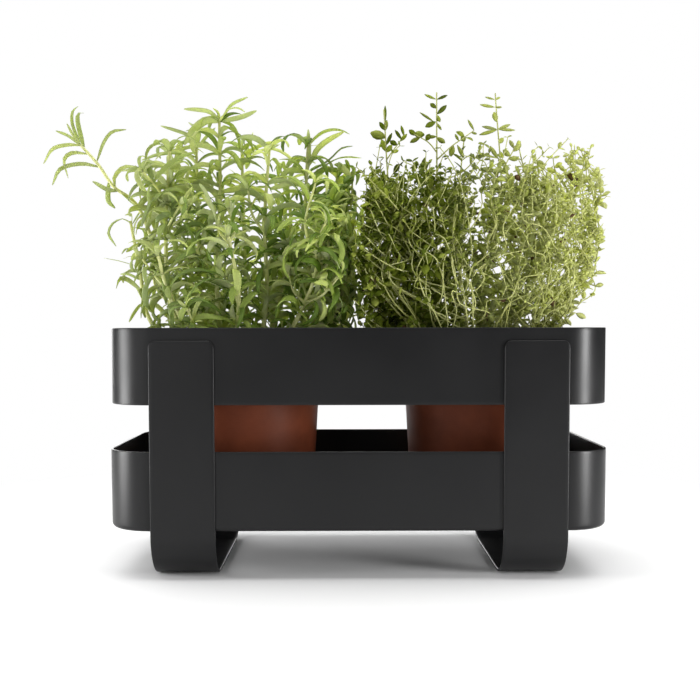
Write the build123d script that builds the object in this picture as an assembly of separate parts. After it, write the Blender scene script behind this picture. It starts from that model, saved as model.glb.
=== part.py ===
from build123d import *
import os
from math import ceil, cos, hypot, pi, radians, sin

# An indoor herb planter. Two steel bands with rounded ends stand one above the other between
# two flat straps that are bent into U-shaped legs. The lower band is a tray with a floor, the
# upper one is an open ring. Two nursery pots stand on the tray, one with a long-leaved herb
# and one with a small-leaved herb, and each pot lifts straight out.
# Millimetres. The origin is on the floor under the planter's centre, +X to the right, +Z up.

# Steel bands
band_depth = 170.0
ring_length = 360.0
ring_height = 54.5
tray_overlength = 2.6
tray_height = 57.0
corner_radius = 32.0
band_sheet = 1.5
tray_bend_radius = 3.5
foot_gap = 35.0
band_gap = 33.0

# Strap legs
strap_width = 46.0
strap_sheet = 2.0
strap_bend_radius = 32.0
strap_end_drop = 9.0
strap_corner_radius = 5.0

# Nursery pots. Their round walls are drawn with many narrow flats. The gaps run from a pot's
# collar to the end of the ring.
left_pot_gap = 25.5
right_pot_gap = 19.0
pot_sides = 40
pot_height = 118.0
pot_base_radius = 55.0
pot_top_radius = 61.7
pot_wall = 1.4
pot_floor = 1.8
pot_rim_height = 12.0
pot_rim_step = 1.8
pot_foot_width = 6.0
pot_foot_height = 2.0
drain_slot_length = 14.0
drain_slot_width = 5.0
drain_circle_radius = 34.0
drain_count = 6

# Potting soil
soil_drop = 9.0
soil_clearance = 0.3

# Long-leaved herb in the left pot
rosemary_spread = 100.0
rosemary_height = 200.0
rosemary_stem_radius = 1.5
rosemary_leaf_length = 33.0
rosemary_leaf_width = 4.0
rosemary_leaf_thickness = 1.0
rosemary_leaf_pitch = 25.0

# Small-leaved herb in the right pot
thyme_spread = 100.0
thyme_height = 200.0
thyme_stem_radius = 0.8
thyme_leaf_length = 13.0
thyme_leaf_width = 7.0
thyme_leaf_thickness = 1.0
thyme_leaf_pitch = 26.0

# Room that the leaves keep
leaf_clearance = 0.4
lift_clearance = 3.0
leaf_overhang = 7.0
bead_cover_share = 1.42

# A leaf's outline: station along the leaf, then the width there, in shares
leaf_outline_shares = ((0.0, 0.0), (0.5, 1.0), (1.0, 0.0))

# Where the lowest and highest leaves sit along a stem, and the size of the highest ones
rosemary_first_leaf_share = 0.3
rosemary_tip_size_share = 0.9
thyme_first_leaf_share = 0.15
thyme_tip_size_share = 0.6
last_leaf_share = 0.985

# Slopes of the leaves, level by level: at the stem, and how much of it is lost towards the tip.
# The slope grows by tip_slope up the stem, so that the highest leaves stand up.
rosemary_leaf_slopes = ((0.75, 0.9), (1.0, 0.8), (0.6, 1.1), (1.1, 0.5))
thyme_leaf_slopes = ((0.5, 0.2), (0.3, 0.5), (0.6, 0.1))
tip_slope = 0.45

# Directions of the leaf pairs in degrees: crosswise from level to level, and other turns of a
# leaf that are tried where another piece is in its way
stem_runs = 6
shoot_turn = 37
level_turn = 90
other_turns = (0, 25, -25, 50, -50, 75)

# Each shoot: its root in shares of the soil's radius, then points up the stem, sideways in
# shares of the plant's spread and upwards in shares of its height.
rosemary_shoot_shares = (
    ((-0.52, -0.13), (-0.60, -0.16, 0.42), (-0.76, -0.22, 0.62), (-1.08, -0.26, 0.78), (-1.24, -0.28, 0.86)),
    ((-0.78, 0.20), (-0.75, 0.10, 0.22), (-0.80, 0.08, 0.38), (-0.87, 0.06, 0.59)),
    ((-0.35, -0.40), (-0.49, -0.24, 0.24), (-0.54, -0.26, 0.50), (-0.50, -0.28, 0.83)),
    ((-0.28, 0.37), (-0.34, 0.20, 0.29), (-0.35, 0.16, 0.60), (-0.36, 0.14, 0.88)),
    ((-0.18, -0.07), (-0.18, -0.08, 0.30), (-0.15, -0.08, 0.61), (-0.15, -0.08, 0.96)),
    ((0.02, 0.43), (0.01, 0.26, 0.29), (0.00, 0.24, 0.59), (-0.01, 0.22, 0.88)),
    ((0.22, -0.43), (0.22, -0.30, 0.28), (0.21, -0.32, 0.56), (0.25, -0.34, 0.83)),
    ((0.35, 0.07), (0.32, -0.08, 0.32), (0.48, -0.12, 0.53), (0.53, -0.14, 0.86)),
    ((0.55, 0.27), (0.59, 0.14, 0.32), (0.68, 0.12, 0.54), (0.75, 0.10, 0.76)),
    ((0.65, -0.13), (0.75, -0.08, 0.26), (0.82, -0.10, 0.41), (0.81, -0.12, 0.57)),
    ((-0.22, 0.63), (-0.25, 0.42, 0.33), (-0.45, 0.46, 0.60), (-0.59, 0.48, 0.85)),
    ((0.32, 0.63), (0.26, 0.46, 0.33), (0.36, 0.50, 0.58), (0.32, 0.52, 0.82)),
    ((-0.42, -0.60), (-0.43, -0.46, 0.24), (-0.50, -0.52, 0.33), (-0.54, -0.58, 0.43)),
    ((-0.05, -0.70), (0.03, -0.50, 0.24), (0.02, -0.56, 0.36), (-0.03, -0.60, 0.50)),
    ((0.42, -0.60), (0.49, -0.46, 0.24), (0.58, -0.52, 0.34), (0.63, -0.58, 0.47)),
)
thyme_sprig_shares = (
    ((-0.23, -0.07), (-0.41, -0.04, 0.32), (-0.37, -0.08, 0.63), (-0.37, -0.08, 1.07)),
    ((0.04, -0.17), (-0.01, -0.10, 0.32), (0.12, -0.14, 0.64), (0.07, -0.14, 1.06)),
    ((-0.39, 0.13), (-0.52, 0.08, 0.32), (-0.71, 0.08, 0.66), (-0.77, 0.06, 1.02)),
    ((0.24, 0.03), (0.34, 0.02, 0.32), (0.55, 0.00, 0.57), (0.80, 0.00, 0.81)),
    ((0.34, -0.23), (0.47, -0.16, 0.28), (0.79, -0.18, 0.47), (0.84, -0.18, 0.73)),
    ((-0.46, -0.17), (-0.57, -0.12, 0.30), (-0.84, -0.14, 0.47), (-0.86, -0.14, 0.69)),
    ((-0.53, -0.37), (-0.66, -0.26, 0.23), (-0.82, -0.28, 0.31), (-0.86, -0.28, 0.42)),
    ((-0.16, 0.43), (-0.24, 0.30, 0.33), (-0.17, 0.32, 0.65), (-0.11, 0.32, 0.94)),
    ((0.11, 0.47), (0.23, 0.32, 0.33), (0.43, 0.36, 0.64), (0.34, 0.36, 0.90)),
    ((0.51, 0.07), (0.63, 0.06, 0.24), (0.85, 0.06, 0.34), (0.93, 0.04, 0.52)),
    ((-0.16, -0.50), (-0.20, -0.40, 0.27), (-0.28, -0.46, 0.51), (-0.48, -0.48, 0.75)),
    ((0.11, -0.57), (0.14, -0.44, 0.27), (0.29, -0.52, 0.47), (0.33, -0.54, 0.67)),
    ((-0.36, -0.53), (-0.46, -0.44, 0.25), (-0.58, -0.54, 0.43), (-0.66, -0.58, 0.60)),
    ((-0.03, -0.63), (-0.08, -0.50, 0.24), (-0.06, -0.60, 0.40), (0.03, -0.64, 0.55)),
    ((-0.33, 0.53), (-0.37, 0.44, 0.31), (-0.58, 0.52, 0.56), (-0.65, 0.54, 0.80)),
    ((0.17, 0.57), (0.42, 0.44, 0.31), (0.65, 0.50, 0.54), (0.74, 0.52, 0.72)),
)

# Derived places
tray_length = ring_length + tray_overlength
strap_x = ring_length / 2 - corner_radius - strap_width / 2
pot_rim_radius = pot_top_radius + pot_rim_step
left_pot_x = left_pot_gap + pot_rim_radius - ring_length / 2
right_pot_x = ring_length / 2 - right_pot_gap - pot_rim_radius
plant_divide_x = (left_pot_x + right_pot_x) / 2
plant_half_depth = band_depth / 2 + leaf_overhang
tray_base_z = foot_gap
tray_floor_z = tray_base_z + band_sheet
tray_top_z = tray_base_z + tray_height
ring_base_z = tray_top_z + band_gap
ring_top_z = ring_base_z + ring_height
strap_top_z = ring_top_z - strap_end_drop
pot_top_z = tray_floor_z + pot_height
soil_top_z = pot_top_z - soil_drop
pot_taper_share = (pot_top_radius - pot_base_radius) / pot_height
soil_top_radius = pot_top_radius - pot_taper_share * soil_drop - pot_wall


def rounded_block(length, depth, radius, height, base_z):
    """A block with rounded vertical corners, standing at base_z."""
    return Pos(0, 0, base_z) * extrude(RectangleRounded(length, depth, radius), height)


def bottom_edges(solid):
    """The edges round the lowest face."""
    return solid.faces().sort_by(Axis.Z)[0].edges()


def upper_ring():
    """The open band that keeps the pots upright."""
    outer = rounded_block(ring_length, band_depth, corner_radius, ring_height, ring_base_z)
    inner = rounded_block(
        ring_length - 2 * band_sheet,
        band_depth - 2 * band_sheet,
        corner_radius - band_sheet,
        ring_height,
        ring_base_z,
    )
    return outer - inner


def lower_tray():
    """The closed band: a drawn tray with a bend between wall and floor."""
    outer = rounded_block(tray_length, band_depth, corner_radius, tray_height, tray_base_z)
    inner = rounded_block(
        tray_length - 2 * band_sheet,
        band_depth - 2 * band_sheet,
        corner_radius - band_sheet,
        tray_height - band_sheet,
        tray_floor_z,
    )
    outer = fillet(bottom_edges(outer), tray_bend_radius)
    inner = fillet(bottom_edges(inner), tray_bend_radius - band_sheet)
    return outer - inner


def bent_profile(half_width, radius, base_y):
    """The outline of one side of a strap leg: straight walls, a flat foot and two bends."""
    height = strap_top_z - base_y
    outline = Pos(0, base_y + height / 2) * Rectangle(2 * half_width, height)
    return fillet(outline.vertices().group_by(Axis.Y)[0], radius)


def strap_leg(centre_x):
    """A flat strap down the front, under the tray and up the back."""
    outer = bent_profile(band_depth / 2 + strap_sheet, strap_bend_radius + strap_sheet, 0)
    inner = bent_profile(band_depth / 2, strap_bend_radius, strap_sheet)
    leg = extrude(Plane.YZ * (outer - inner), strap_width / 2, both=True)
    ends = leg.edges().filter_by(Axis.Y).group_by(Axis.Z)[-1]
    leg = fillet(ends, strap_corner_radius)
    return Pos(centre_x, 0, 0) * leg


def wall_radius(height):
    """The outer radius of a pot's wall at a height above its base."""
    return pot_base_radius + pot_taper_share * height


def pot_block(base_radius, top_radius, base, top):
    """A block with many flat sides between two heights above a pot's base."""
    turns = [2 * pi * i / pot_sides for i in range(pot_sides)]
    lower = [Vector(base_radius * cos(turn), base_radius * sin(turn), base) for turn in turns]
    upper = [Vector(top_radius * cos(turn), top_radius * sin(turn), top) for turn in turns]
    outlines = [lower, upper]
    for i in range(pot_sides):
        j = (i + 1) % pot_sides
        outlines.append([lower[i], lower[j], upper[j], upper[i]])
    return Solid(Shell([Face(Wire.make_polygon(outline)) for outline in outlines]))


def nursery_pot(centre_x):
    """A thin tapered pot with a collar round its mouth, a raised floor and drain slots."""
    rim_base = pot_height - pot_rim_height
    floor_top = pot_foot_height + pot_floor
    hollow_radius = pot_base_radius - pot_foot_width
    wall = pot_block(pot_base_radius, wall_radius(rim_base), 0, rim_base)
    collar = pot_block(pot_rim_radius, pot_rim_radius, rim_base, pot_height)
    inside = pot_block(
        wall_radius(floor_top) - pot_wall,
        wall_radius(pot_height) - pot_wall,
        floor_top,
        pot_height,
    )
    under_floor = pot_block(hollow_radius, hollow_radius, 0, pot_foot_height)
    slot = Box(drain_slot_length, drain_slot_width, 2 * floor_top)
    slots = PolarLocations(drain_circle_radius, drain_count) * slot
    pot = wall + collar - inside - under_floor - slots
    return Pos(centre_x, 0, tray_floor_z) * pot


def potting_soil(centre_x):
    """The soil that fills a pot up to a little below its rim."""
    base = pot_foot_height + pot_floor
    top = pot_height - soil_drop
    inset = pot_wall + soil_clearance
    soil = pot_block(wall_radius(base) - inset, wall_radius(top) - inset, base, top)
    return Pos(centre_x, 0, tray_floor_z) * soil


def triangle(a, b, c):
    return Face(Wire.make_polygon([a, b, c]))


def faceted_solid(rings):
    """A closed solid through rings of points. A ring of one point is a tip."""
    faces = []
    for lower, upper in zip(rings, rings[1:]):
        count = max(len(lower), len(upper))
        for i in range(count):
            j = (i + 1) % count
            if len(lower) == 1:
                faces.append(triangle(lower[0], upper[j], upper[i]))
            elif len(upper) == 1:
                faces.append(triangle(lower[i], lower[j], upper[0]))
            else:
                faces.append(triangle(lower[i], lower[j], upper[j]))
                faces.append(triangle(lower[i], upper[j], upper[i]))
    for end in (rings[0], rings[-1]):
        if len(end) > 1:
            faces.append(Face(Wire.make_polygon(end)))
    return Solid(Shell(faces))


def stem_rings(points, radius):
    """Three-sided sections along a stem that thins to half at its tip. The first one lies flat."""
    rings = []
    for i, point in enumerate(points):
        if i == 0:
            run = Vector(0, 0, 1)
        else:
            run = points[min(i + 1, len(points) - 1)] - points[i - 1]
        side = run.cross(Vector(0, 1, 0)).normalized()
        lift = side.cross(run).normalized()
        size = radius * (1 - i / len(points) / 2)
        rings.append([
            point + side * (size * cos(turn)) + lift * (size * sin(turn))
            for turn in (0, 2 * pi / 3, 4 * pi / 3)
        ])
    return rings


def leaf_rings(base, out, slope, droop, length, width, thickness):
    """Flat sections with a keel below, along a leaf that leaves its stem at a slope and bends down."""
    side = Vector(0, 0, 1).cross(out).normalized()
    rings = []
    for along, wide in leaf_outline_shares:
        climb = length * along * (slope - droop * along)
        centre = base + out * (length * along * cos(slope / 2)) + Vector(0, 0, climb)
        if wide == 0:
            rings.append([centre])
            continue
        across = side * (width * wide / 2)
        keel = Vector(0, 0, thickness * wide)
        rings.append([centre + across, centre - across, centre - keel])
    return rings


def beads(rings, radius):
    """Spheres that cover a stem or leaf, for keeping others away: x, y, z and radius."""
    centres = [sum(ring, Vector()) / len(ring) for ring in rings]
    spheres = []
    for start, end in zip(centres, centres[1:]):
        steps = max(1, ceil((end - start).length / (2 * radius)))
        for k in range(steps + 1):
            p = start + (end - start) * (k / steps)
            spheres.append((p.X, p.Y, p.Z, radius * bead_cover_share))
    return spheres


def inside_ring(x, y, margin):
    """Whether a place lies inside the ring's inner outline, kept away by a margin."""
    radius = corner_radius - band_sheet
    dx = max(abs(x) - (ring_length / 2 - corner_radius), 0)
    dy = max(abs(y) - (band_depth / 2 - corner_radius), 0)
    return hypot(dx, dy) < radius - margin


def has_room(spheres, owner, taken, centre_x):
    """Whether a leaf keeps clear of the ring, the pot, the other plant and all other shoots."""
    for x, y, z, r in spheres:
        beyond = (x - plant_divide_x) * (1 if centre_x > plant_divide_x else -1)
        if beyond < r + leaf_clearance or abs(y) > plant_half_depth - r:
            return False
        if z < ring_top_z + r + lift_clearance and not inside_ring(x, y, r + lift_clearance):
            return False
        if z < pot_top_z + r and hypot(x - centre_x, y) > soil_top_radius - r:
            return False
        if z < soil_top_z + r:
            return False
        for other, ox, oy, oz, orad in taken:
            if other == owner:
                continue
            reach = r + orad + leaf_clearance
            if abs(ox - x) < reach and abs(oz - z) < reach and abs(oy - y) < reach:
                if (ox - x) ** 2 + (oy - y) ** 2 + (oz - z) ** 2 < reach ** 2:
                    return False
    return True


def stem_points(shares, centre_x, spread, height, count):
    """Evenly spaced points on a smooth line through one shoot's own points."""
    (root_x, root_y), rest = shares[0], shares[1:]
    points = [Vector(centre_x + root_x * soil_top_radius, root_y * soil_top_radius, soil_top_z)]
    for x, y, z in rest:
        points.append(Vector(centre_x + x * spread, y * spread, soil_top_z + z * height))
    line = Spline(*points)
    return [line @ (i / count) for i in range(count + 1)], line


def along_stem(points, share):
    """A place on the straight runs between a stem's points."""
    step = min(int(share * (len(points) - 1)), len(points) - 2)
    rest = share * (len(points) - 1) - step
    return points[step] + (points[step + 1] - points[step]) * rest


def herb(prefix, shoot_shares, centre_x, spread, height, stem_radius, leaf, habit):
    """All shoots of one plant as separate solids, each a stem fused with its own leaf pairs."""
    length, width, thickness = leaf
    pitch, first_share, tip_size_share, slopes = habit
    stems = []
    taken = []
    for number, shares in enumerate(shoot_shares):
        points, line = stem_points(shares, centre_x, spread, height, stem_runs)
        rings = stem_rings(points, stem_radius)
        stems.append((points, line.length, rings))
        taken += [(number, *sphere) for sphere in beads(rings, stem_radius)]
    shoots = {}
    for number, (points, stem_length, rings) in enumerate(stems):
        leaves = []
        pairs = max(1, int(stem_length * (1 - first_share) / pitch))
        for level in range(pairs + 1):
            place = first_share + (last_leaf_share - first_share) * level / pairs
            base = along_stem(points, place)
            slope, droop = slopes[level % len(slopes)]
            slope += tip_slope * level / pairs
            size = length * (1 - (1 - tip_size_share) * level / pairs)
            for half_turn in (0, 180):
                for turn in other_turns:
                    angle = radians(number * shoot_turn + (pairs - level) * level_turn + half_turn + turn)
                    out = Vector(cos(angle), sin(angle), 0)
                    leaf_body = leaf_rings(base, out, slope, droop, size, width, thickness)
                    spheres = beads(leaf_body, width / 2)
                    if has_room(spheres, number, taken, centre_x):
                        leaves.append(faceted_solid(leaf_body))
                        taken += [(number, *sphere) for sphere in spheres]
                        break
        shoots[f"{prefix}_{number + 1:02d}"] = faceted_solid(rings).fuse(*leaves)
    return shoots


def planter():
    """Every piece by its node name."""
    pieces = {
        "upper_ring": upper_ring(),
        "lower_tray": lower_tray(),
        "left_leg": strap_leg(-strap_x),
        "right_leg": strap_leg(strap_x),
        "left_pot": nursery_pot(left_pot_x),
        "right_pot": nursery_pot(right_pot_x),
        "left_soil": potting_soil(left_pot_x),
        "right_soil": potting_soil(right_pot_x),
    }
    pieces.update(herb(
        "rosemary_shoot",
        rosemary_shoot_shares,
        left_pot_x,
        rosemary_spread,
        rosemary_height,
        rosemary_stem_radius,
        (rosemary_leaf_length, rosemary_leaf_width, rosemary_leaf_thickness),
        (rosemary_leaf_pitch, rosemary_first_leaf_share, rosemary_tip_size_share, rosemary_leaf_slopes),
    ))
    pieces.update(herb(
        "thyme_sprig",
        thyme_sprig_shares,
        right_pot_x,
        thyme_spread,
        thyme_height,
        thyme_stem_radius,
        (thyme_leaf_length, thyme_leaf_width, thyme_leaf_thickness),
        (thyme_leaf_pitch, thyme_first_leaf_share, thyme_tip_size_share, thyme_leaf_slopes),
    ))
    return pieces


os.makedirs("parts", exist_ok=True)
for name, piece in planter().items():
    export_step(piece, f"parts/{name}.step")
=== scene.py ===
"""Looks of the indoor herb planter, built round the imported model. Metres, +X right, +Y back, +Z up."""
import random
from math import copysign, cos, hypot, pi, radians, sin, sqrt

import bpy
import numpy as np
from mathutils import Matrix, Vector
from numpy.linalg import norm


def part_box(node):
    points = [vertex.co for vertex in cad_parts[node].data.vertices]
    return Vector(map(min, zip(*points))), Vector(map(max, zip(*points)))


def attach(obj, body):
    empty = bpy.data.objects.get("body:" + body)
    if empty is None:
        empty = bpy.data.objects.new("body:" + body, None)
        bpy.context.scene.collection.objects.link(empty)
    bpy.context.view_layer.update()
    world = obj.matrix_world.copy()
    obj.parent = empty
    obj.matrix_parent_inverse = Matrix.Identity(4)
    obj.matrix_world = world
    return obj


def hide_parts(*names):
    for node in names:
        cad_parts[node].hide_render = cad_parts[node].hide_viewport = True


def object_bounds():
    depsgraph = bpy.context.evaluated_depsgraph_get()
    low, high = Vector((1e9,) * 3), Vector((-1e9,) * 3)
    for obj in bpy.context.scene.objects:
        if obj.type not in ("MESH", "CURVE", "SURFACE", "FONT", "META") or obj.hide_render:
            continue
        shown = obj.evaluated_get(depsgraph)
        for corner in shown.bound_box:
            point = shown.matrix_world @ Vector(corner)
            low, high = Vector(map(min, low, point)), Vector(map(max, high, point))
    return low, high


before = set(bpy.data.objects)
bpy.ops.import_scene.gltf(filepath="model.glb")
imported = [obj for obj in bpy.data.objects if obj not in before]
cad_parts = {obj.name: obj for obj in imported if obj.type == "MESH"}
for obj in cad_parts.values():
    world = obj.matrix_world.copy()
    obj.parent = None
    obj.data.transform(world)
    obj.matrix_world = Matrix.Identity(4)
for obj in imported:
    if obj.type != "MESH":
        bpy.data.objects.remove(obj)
cad_low, cad_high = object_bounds()

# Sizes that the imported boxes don't give, as the construction has them
SHEET = 0.0015
CORNER = 0.032
TRAY_BEND = 0.0035
STRAP_SHEET = 0.002
STRAP_BEND = 0.032
STRAP_CORNER = 0.005
POT_WALL = 0.0014
POT_BASE_RADIUS = 0.055
POT_TOP_RADIUS = 0.0617
POT_RIM_HEIGHT = 0.012
POT_RIM_STEP = 0.0018

# How round the sheets' edges are, and how far from an edge a flat face begins
EDGE = 0.0006
STRAP_EDGE = 0.0007
SUPPORT = 0.002

# The photograph's view, solved from the edges of the bands and legs: pixels, metres and degrees
FRAME_PIXELS = 700
FOCAL_PIXELS = 1021.4
PRINCIPAL_DROP = 42.963
EYE = Vector((-0.01075, -0.80195, 0.176185))
YAW, PITCH, ROLL = -0.330, 3.399, -0.073
TURN = (
    Matrix.Rotation(radians(YAW), 3, "Z")
    @ Matrix.Rotation(radians(90 - PITCH), 3, "X")
    @ Matrix.Rotation(radians(ROLL), 3, "Z")
)
SENSOR = 36.0

# Places read from the frame
ring_low, ring_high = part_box("upper_ring")
tray_low, tray_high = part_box("lower_tray")
leg_low, leg_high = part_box("left_leg")
soil_low, soil_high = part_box("left_soil")
soil_z = soil_high.z
soil_radius = (soil_high.x - soil_low.x) / 2
pots = {}
for side_name in ("left", "right"):
    low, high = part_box(side_name + "_pot")
    pots[side_name] = ((low.x + high.x) / 2, low.z, high.z)
divide_x = (pots["left"][0] + pots["right"][0]) / 2


def hex_colour(text):
    """A linear colour from a six-digit screen colour."""
    parts = [int(text[i:i + 2], 16) / 255 for i in (0, 2, 4)]
    return tuple(c / 12.92 if c <= 0.04045 else ((c + 0.055) / 1.055) ** 2.4 for c in parts) + (1.0,)


class Paint:
    """The nodes of a material, or of the world, under construction."""

    def __init__(self, owner, output="Material Output"):
        owner.use_nodes = True
        self.owner = owner
        self.nodes = owner.node_tree.nodes
        self.output = self.nodes[output]

    def feed(self, socket, value):
        """Gives a socket its value, or links it to the output of another node."""
        if isinstance(value, bpy.types.NodeSocket):
            self.owner.node_tree.links.new(value, socket)
        else:
            socket.default_value = value

    def node(self, kind, inputs=None, **settings):
        made = self.nodes.new("ShaderNode" + kind)
        for key, value in settings.items():
            setattr(made, key, value)
        for key, value in (inputs or {}).items():
            self.feed(made.inputs[key], value)
        return made

    def set(self, **values):
        """Feeds the main shader's sockets. An underscore stands for a space."""
        for key, value in values.items():
            self.feed(self.nodes["Principled BSDF"].inputs[key.replace("_", " ")], value)

    def surface(self, shader):
        self.feed(self.output.inputs["Surface"], shader)

    def place(self):
        """Where a point lies in the piece's own space, which is the planter's frame."""
        return self.node("TexCoord").outputs["Object"]

    def noise(self, scale, detail=3.0, roughness=0.5):
        inputs = {"Vector": self.place(), "Scale": scale, "Detail": detail, "Roughness": roughness}
        return self.node("TexNoise", inputs).outputs["Fac"]

    def ramp(self, factor, *stops):
        """A colour ramp through stops of a place and a colour."""
        made = self.node("ValToRGB", {"Fac": factor})
        elements = made.color_ramp.elements
        while len(elements) < len(stops):
            elements.new(0.5)
        for element, (place, colour) in zip(elements, stops):
            element.position = place
            element.color = hex_colour(colour) if isinstance(colour, str) else colour + (1,)
        return made.outputs["Color"]

    def span(self, factor, low, high, from_low=0.3, from_high=0.7):
        """A factor carried from one range to another."""
        inputs = {"Value": factor, "From Min": from_low, "From Max": from_high, "To Min": low, "To Max": high}
        return self.node("MapRange", inputs).outputs["Result"]

    def mix(self, factor, first, second, blend="MIX"):
        """Two colours mixed. The node's colour sockets are its sixth and seventh, and its third output."""
        inputs = {"Factor": factor, 6: first, 7: second}
        return self.node("Mix", inputs, data_type="RGBA", blend_type=blend).outputs[2]

    def blend(self, factor, first, second):
        """Two shaders mixed."""
        return self.node("MixShader", {"Fac": factor, 1: first, 2: second}).outputs["Shader"]

    def bump(self, height, strength, distance):
        inputs = {"Height": height, "Strength": strength, "Distance": distance}
        self.set(Normal=self.node("Bump", inputs).outputs["Normal"])


def new_paint(name):
    return Paint(bpy.data.materials.new(name))


def powder_coat():
    """Charcoal powder coat: a fine dry grain over a slightly cloudy tone."""
    paint = new_paint("powder_coat")
    tone = paint.ramp(paint.noise(14.0), (0.3, "171718"), (0.7, "1b1b1c"))
    grain = paint.noise(2600.0, 2.0)
    speck = paint.ramp(grain, (0.35, (0.82, 0.82, 0.82)), (0.65, (1.12, 1.12, 1.12)))
    paint.set(
        Base_Color=paint.mix(1.0, tone, speck, "MULTIPLY"),
        Roughness=paint.span(paint.noise(30.0), 0.32, 0.38),
        Specular_IOR_Level=0.36,
    )
    paint.bump(grain, 0.08, 0.0002)
    return paint.owner


def pot_plastic():
    """Terracotta-brown moulded plastic, satin, a little cloudy, with faint rings from its mould."""
    paint = new_paint("pot_plastic")
    paint.set(
        Base_Color=paint.ramp(paint.noise(35.0, 4.0, 0.6), (0.3, "64321f"), (0.7, "783e28")),
        Roughness=paint.span(paint.noise(90.0), 0.46, 0.54),
        Specular_IOR_Level=0.12,
    )
    inputs = {"Vector": paint.place(), "Scale": 160.0, "Distortion": 0.6}
    rings = paint.node("TexWave", inputs, wave_type="BANDS", bands_direction="Z")
    paint.bump(rings.outputs["Fac"], 0.05, 0.0003)
    return paint.owner


def peat():
    """Dark clumped peat."""
    paint = new_paint("peat")
    clump = paint.noise(260.0, 6.0, 0.7)
    tone = paint.ramp(clump, (0.3, "1c130c"), (0.55, "3a2819"), (0.8, "5b4630"))
    paint.set(Base_Color=tone, Roughness=0.92)
    paint.bump(clump, 0.9, 0.002)
    return paint.owner


# How a leaf tints the light that comes through it
THROUGH_TINT = (1.22, 1.24, 0.72, 1)


def greenery(name, dark, pale, roughness, through, scale, gloss, far=None):
    """A leaf or stem: two tones that wander over the plant, and light that comes through it. Where far is
    given, painted light turns the tone paler towards one side along X.
    """
    paint = new_paint(name)
    tone = paint.ramp(paint.noise(scale, 2.0), (0.32, dark), (0.68, pale))
    # Painted light: towards one side of the herb the tone is mixed with a paler one
    if far:
        start, end, colour, most = far
        along = paint.node("SeparateXYZ", {"Vector": paint.place()}).outputs["X"]
        tone = paint.mix(paint.span(along, 0.0, most, start, end), tone, hex_colour(colour))
    fleck = paint.noise(900.0, 2.0)
    tint = paint.ramp(fleck, (0.3, (0.92, 0.93, 0.88)), (0.7, (1.08, 1.06, 1.02)))
    tone = paint.mix(1.0, tone, tint, "MULTIPLY")
    paint.set(Base_Color=tone, Roughness=roughness, Specular_IOR_Level=gloss)
    paint.bump(fleck, 0.06, 0.0002)
    glow = paint.node("BsdfTranslucent", {"Color": paint.mix(1.0, tone, THROUGH_TINT, "MULTIPLY")})
    front = paint.nodes["Principled BSDF"].outputs["BSDF"]
    paint.surface(paint.blend(through, front, glow.outputs["BSDF"]))
    return paint.owner


coat = powder_coat()
plastic = pot_plastic()
soil = peat()

# Painted light: where along X the leaves turn paler, at the far left of the long-leaved herb and the right of
# the bush: from, to, the tone and the most of it
PAINTED_LIGHT_LEFT = (-0.100, -0.165, "b9c19a", 0.6)
PAINTED_LIGHT_RIGHT = (0.060, 0.150, "eef1b4", 0.74)
# Each part's two tones, roughness, share of light that comes through, scale of the tones, gloss, and for most
# leaves the painted light on one side
ROSEMARY = [greenery(*row) for row in (
    ("rosemary_stem", "d6da94", "eaecb8", 0.5, 0.25, 30.0, 0.2),
    ("rosemary_top_dark", "708a3e", "8ba450", 0.46, 0.46, 22.0, 0.2, PAINTED_LIGHT_LEFT),
    ("rosemary_top_mid", "a8bb66", "c0d07e", 0.48, 0.50, 22.0, 0.2, PAINTED_LIGHT_LEFT),
    ("rosemary_top_pale", "d2dc98", "e6ecb8", 0.5, 0.52, 22.0, 0.2, PAINTED_LIGHT_LEFT),
    ("rosemary_under", "dae0b0", "eef0ce", 0.6, 0.50, 22.0, 0.2, PAINTED_LIGHT_LEFT),
)]
THYME = [greenery(*row) for row in (
    ("thyme_stem", "c4c87c", "e2e5a8", 0.5, 0.25, 40.0, 0.2),
    ("thyme_leaf_dark", "57671a", "6e7f26", 0.6, 0.34, 25.0, 0.1, PAINTED_LIGHT_RIGHT),
    ("thyme_leaf_mid", "78872e", "94a23c", 0.6, 0.42, 25.0, 0.1, PAINTED_LIGHT_RIGHT),
    ("thyme_leaf_pale", "a4b04e", "c2cc68", 0.6, 0.48, 25.0, 0.1, PAINTED_LIGHT_RIGHT),
    ("thyme_leaf_brown", "5a4230", "77603f", 0.6, 0.15, 25.0, 0.2),
)]
# Places in both lists: the stem, the three tones of a leaf, and the underside or the withered leaf
STEM, DARK, MID, PALE, OTHER = range(5)


def set_up(name, data):
    made = bpy.data.objects.new(name, data)
    bpy.context.scene.collection.objects.link(made)
    return made


def piece(name, points, faces, materials, body, replaced, marks=()):
    """A smooth mesh that rides on a body and stands for a node."""
    mesh = bpy.data.meshes.new(name)
    mesh.from_pydata([tuple(p) for p in points], [], faces)
    for material in materials:
        mesh.materials.append(material)
    if marks:
        mesh.polygons.foreach_set("material_index", marks)
    mesh.polygons.foreach_set("use_smooth", [True] * len(mesh.polygons))
    mesh.update()
    made = set_up(name, mesh)
    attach(made, body)
    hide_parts(replaced)


def skin(rows, columns, looped=False):
    """Quads between closed rows of points, which go round in a loop or end in a cap on each side."""
    faces = []
    for r in range(rows if looped else rows - 1):
        s = (r + 1) % rows
        for c in range(columns):
            d = (c + 1) % columns
            faces.append((r * columns + c, r * columns + d, s * columns + d, s * columns + c))
    if not looped:
        faces.append(tuple(reversed(range(columns))))
        faces.append(tuple(range((rows - 1) * columns, rows * columns)))
    return faces


def quarter(steps):
    """Cosine and sine at even steps of a quarter turn."""
    turns = [i * pi / 2 / steps for i in range(steps + 1)]
    return [(cos(t), sin(t)) for t in turns]


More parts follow.
